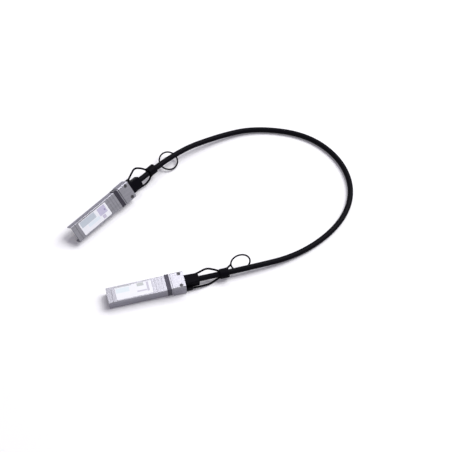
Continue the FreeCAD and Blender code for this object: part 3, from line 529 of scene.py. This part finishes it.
def card_finish(name, plug):
    """Green solder mask over copper tracks, with the weave of the glass cloth below."""
    made = Finish(name, IOR=1.55)
    axes = made.axes(made.place(plug))
    raised = made.spread(made.wave(axes["Y"], TRACK_PITCH), over=(0.2, 0.5))
    weave = made.math(
        "MULTIPLY", made.wave(axes["X"], CLOTH_PITCH), made.wave(axes["Y"], CLOTH_PITCH)
    )
    made.link(made.mix(raised, SOLDER_MASK, MASKED_COPPER), "Base Color")
    made.link(made.spread(weave, to=(0.24, 0.36), over=(-1.0, 1.0)), "Roughness")
    relief = made.bump(raised, 0.02 * MM)
    made.link(made.bump(weave, 0.002 * MM, strength=0.5, under=relief), "Normal")
    return made.material


def foil_finish(name):
    """Aluminium foil wrapped round a pair: soft creases."""
    made = Finish(name, Metallic=1.0)
    where = made.place()
    crease = made.cells(where, 0.7 * MM)
    fine = made.noise(where, 0.2 * MM)
    made.link(made.mix(crease, DULL_FOIL, BRIGHT_FOIL), "Base Color")
    made.link(made.spread(fine, to=(0.2, 0.42), over=ONE_NOISE), "Roughness")
    made.link(made.bump(crease, 0.05 * MM, strength=0.6), "Normal")
    return made.material


def give(node, material):
    """The carried-over piece takes this material in each of its slots."""
    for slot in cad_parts[node].material_slots:
        slot.material = material


def finish_pieces(base, make):
    """Both plugs' pieces of one name, each with its own material."""
    for plug in PLUGS:
        give(f"{base}_{plug}", make(f"{base}_{plug}", plug))


# -------------------------------------------------------------------------- pieces
class ATTACH_OT_cable(bpy.types.Operator):
    """Lay the jacketed cable from boot to boot on its route"""

    bl_idname = "attach.cable"
    bl_label = "Cable"

    def execute(self, context):
        sizes = context.scene.attach_cable
        curve = bpy.data.curves.new("jacket", "CURVE")
        curve.dimensions = "3D"
        curve.resolution_u = 24
        curve.render_resolution_u = 24
        curve.bevel_depth = sizes.diameter / 2
        curve.bevel_resolution = 8
        curve.use_fill_caps = True
        spline = curve.splines.new("NURBS")
        spline.points.add(len(CABLE_ROUTE) - 1)
        for point, place in zip(spline.points, CABLE_ROUTE):
            point.co = (*place, 1.0)
        spline.order_u = 3
        spline.use_endpoint_u = True
        spline.use_smooth = True
        jacket = bpy.data.objects.new("jacket", curve)
        context.scene.collection.objects.link(jacket)
        curve.materials.append(jacket_finish(context.scene.attach_colours.jacket))
        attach(jacket, "cable_and_plugs")
        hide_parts("cable")
        return {"FINISHED"}


class ATTACH_OT_shells(bpy.types.Operator):
    """Finish the die-cast shells and their screws"""

    bl_idname = "attach.shells"
    bl_label = "Shells and screws"

    def execute(self, context):
        colour = context.scene.attach_colours.casting
        for base in ("bottom_shell", "top_shell"):
            finish_pieces(base, lambda name, plug: cast_finish(name, plug, colour))
        finish_pieces(
            "shell_screws",
            lambda name, plug: plated_finish(name, SCREW_STEEL, rough=(0.40, 0.55)),
        )
        return {"FINISHED"}


class ATTACH_OT_labels(bpy.types.Operator):
    """Finish the label films and the gaskets"""

    bl_idname = "attach.labels"
    bl_label = "Labels and gaskets"

    def execute(self, context):
        colours = context.scene.attach_colours
        finish_pieces("label", lambda name, plug: label_finish(name, plug, colours.label))
        finish_pieces("emi_gasket", lambda name, plug: gasket_finish(name, plug, colours.gasket))
        return {"FINISHED"}


class ATTACH_OT_mouldings(bpy.types.Operator):
    """Finish the boots, lanyards and wire combs"""

    bl_idname = "attach.mouldings"
    bl_label = "Boots and lanyards"

    def execute(self, context):
        black = context.scene.attach_colours.moulding
        finish_pieces("boot", lambda name, plug: moulded_finish(name, black, gloss=MOULDING_GLOSS))
        finish_pieces(
            "pull_lanyard",
            lambda name, plug: moulded_finish(
                name, black, rough=(0.38, 0.55), grain=0.2 * MM, gloss=MOULDING_GLOSS
            ),
        )
        finish_pieces("wire_comb", lambda name, plug: moulded_finish(name, COMB_RESIN))
        return {"FINISHED"}


class ATTACH_OT_latches(bpy.types.Operator):
    """Finish the sliders and the plates over them"""

    bl_idname = "attach.latches"
    bl_label = "Sliders and plates"

    def execute(self, context):
        for base in ("release_slider", "latch_cover"):
            finish_pieces(base, lambda name, plug: rolled_finish(name, plug, SPRING_STEEL))
        return {"FINISHED"}


class ATTACH_OT_springs(bpy.types.Operator):
    """Make the return springs, each a welded, smoothly shaded copy of the frame's folded strip"""

    bl_idname = "attach.springs"
    bl_label = "Return springs"

    def execute(self, context):
        for plug in PLUGS:
            spring = self.strip(context, plug)
            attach(spring, "cable_and_plugs")
            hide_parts(f"return_spring_{plug}")
            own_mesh(spring)
        return {"FINISHED"}

    @staticmethod
    def strip(context, plug):
        """The spring's folded strip, as one closed surface."""
        folds = bmesh.new()
        folds.from_mesh(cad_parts[f"return_spring_{plug}"].data)
        bmesh.ops.remove_doubles(folds, verts=folds.verts, dist=SPRING_WELD)
        mesh = bpy.data.meshes.new(f"folded_spring_{plug}")
        folds.to_mesh(mesh)
        folds.free()
        if "custom_normal" in mesh.attributes:
            mesh.attributes.remove(mesh.attributes["custom_normal"])
        mesh.shade_smooth()
        mesh.set_sharp_from_angle(angle=SPRING_SMOOTH_ANGLE)
        mesh.materials.append(rolled_finish(f"folded_spring_{plug}", plug, SPRING_STEEL))
        spring = bpy.data.objects.new(f"folded_spring_{plug}", mesh)
        context.scene.collection.objects.link(spring)
        return spring


class ATTACH_OT_wiring(bpy.types.Operator):
    """Finish the card, what is on it, and the wires and ferrule behind it"""

    bl_idname = "attach.wiring"
    bl_label = "Card and wires"

    def execute(self, context):
        finish_pieces("paddle_card", card_finish)
        finish_pieces(
            "edge_contacts",
            lambda name, plug: rolled_finish(
                name, plug, CONTACT_GOLD, size=0.1 * MM, rough=(0.15, 0.3)
            ),
        )
        finish_pieces("memory_chip", lambda name, plug: moulded_finish(name, CHIP_RESIN))
        finish_pieces(
            "coupling_capacitors",
            lambda name, plug: moulded_finish(name, CAPACITOR_CERAMIC, rough=(0.3, 0.45)),
        )
        finish_pieces("wire_ends", lambda name, plug: plated_finish(name, COPPER))
        finish_pieces(
            "insulated_cores",
            lambda name, plug: moulded_finish(name, CORE_INSULATION, rough=(0.3, 0.45)),
        )
        finish_pieces("twinax_pairs", lambda name, plug: foil_finish(name))
        finish_pieces("crimp_ferrule", lambda name, plug: plated_finish(name, BRASS))
        return {"FINISHED"}


# -------------------------------------------------------------------------- studio
class ATTACH_OT_studio(bpy.types.Operator):
    """Set the pale table, the soft lamps and the camera"""

    bl_idname = "attach.studio"
    bl_label = "Studio"

    def execute(self, context):
        scene = context.scene
        settings = scene.attach_studio
        scene.view_settings.view_transform = "Standard"
        self.table(scene)
        self.sky(scene)
        target = Vector(VIEW_POINT)
        for name, (place, size, share) in LAMPS.items():
            self.lamp(scene, name, Vector(place), target, size, settings.key_power * share)
        self.camera(scene, settings, target)
        return {"FINISHED"}

    @staticmethod
    def table(scene):
        """The pale top, which shines towards the camera so that it shows as white."""
        grid = bmesh.new()
        bmesh.ops.create_grid(grid, x_segments=1, y_segments=1, size=TABLE_HALF_WIDTH)
        mesh = bpy.data.meshes.new("table")
        grid.to_mesh(mesh)
        grid.free()
        table = bpy.data.objects.new("table", mesh)
        scene.collection.objects.link(table)
        finish = Finish("table_top", Roughness=0.75, Emission_Color=(*WHITE, 1.0))
        colour = scene.attach_colours.table
        cloud = finish.noise(finish.place(), TABLE_CLOUD)
        finish.link(finish.mix(cloud, shade(colour, 0.99), shade(colour, 1.01)), "Base Color")
        away = finish.add("VectorMath", {0: finish.place()}, operation="LENGTH").outputs["Value"]
        glow = finish.spread(away, to=TABLE_GLOW, over=TABLE_GLOW_DISTANCE)
        finish.link(finish.math("MULTIPLY", finish.seen_white(), glow), "Emission Strength")
        mesh.materials.append(finish.material)

    @staticmethod
    def sky(scene):
        """Pure white where it is seen, mirrored or looked at through glass; cool fill elsewhere."""
        world = bpy.data.worlds.new("studio")
        scene.world = world
        world.use_nodes = True
        nodes = Nodes(world.node_tree)
        tone = nodes.mix(nodes.seen_white(), SKY_FILL, WHITE)
        nodes.tree.links.new(tone, nodes.tree.nodes["Background"].inputs["Color"])

    @staticmethod
    def lamp(scene, name, place, target, size, power):
        """One round soft lamp, turned to the target."""
        light = bpy.data.lights.new(name, "AREA")
        light.shape = "DISK"
        light.size = size
        light.energy = power
        lamp = bpy.data.objects.new(name, light)
        lamp.location = place
        lamp.rotation_mode = "QUATERNION"
        lamp.rotation_quaternion = (target - place).to_track_quat("-Z", "Y")
        scene.collection.objects.link(lamp)

    @staticmethod
    def camera(scene, settings, target):
        """The camera, before the object and above it."""
        lens = bpy.data.cameras.new("camera")
        lens.lens = settings.lens
        lens.sensor_width = SENSOR_WIDTH_MM
        camera = bpy.data.objects.new("camera", lens)
        back = Vector((0.0, -math.cos(settings.elevation), math.sin(settings.elevation)))
        camera.location = target + back * settings.distance
        camera.rotation_mode = "QUATERNION"
        camera.rotation_quaternion = (-back).to_track_quat("-Z", "Y")
        scene.collection.objects.link(camera)
        scene.camera = camera


class ATTACH_PT_panel(bpy.types.Panel):
    """Sizes, colours and steps of the attach cable"""

    bl_label = "Attach Cable"
    bl_idname = "ATTACH_PT_panel"
    bl_space_type = "VIEW_3D"
    bl_region_type = "UI"
    bl_category = "Attach Cable"

    def draw(self, context):
        for group in (
            context.scene.attach_cable,
            context.scene.attach_colours,
            context.scene.attach_studio,
        ):
            column = self.layout.column(align=True)
            for name in group.bl_rna.properties.keys():
                if name not in ("rna_type", "name"):  # Blender's own
                    column.prop(group, name)
        for step in STEPS:
            self.layout.operator(step.bl_idname)


STEPS = (
    ATTACH_OT_cable,
    ATTACH_OT_shells,
    ATTACH_OT_labels,
    ATTACH_OT_mouldings,
    ATTACH_OT_latches,
    ATTACH_OT_springs,
    ATTACH_OT_wiring,
    ATTACH_OT_studio,
)
CLASSES = (CableSizes, FinishColours, StudioSettings, *STEPS, ATTACH_PT_panel)


def register():
    for cls in CLASSES:
        bpy.utils.register_class(cls)
    bpy.types.Scene.attach_cable = PointerProperty(type=CableSizes)
    bpy.types.Scene.attach_colours = PointerProperty(type=FinishColours)
    bpy.types.Scene.attach_studio = PointerProperty(type=StudioSettings)


def unregister():
    del bpy.types.Scene.attach_studio
    del bpy.types.Scene.attach_colours
    del bpy.types.Scene.attach_cable
    for cls in reversed(CLASSES):
        bpy.utils.unregister_class(cls)


def main():
    """Run every step in order."""
    register()
    bpy.ops.attach.studio()
    bpy.ops.attach.cable()
    bpy.ops.attach.shells()
    bpy.ops.attach.labels()
    bpy.ops.attach.mouldings()
    bpy.ops.attach.latches()
    bpy.ops.attach.springs()
    bpy.ops.attach.wiring()


if __name__ == "__main__":
    main()
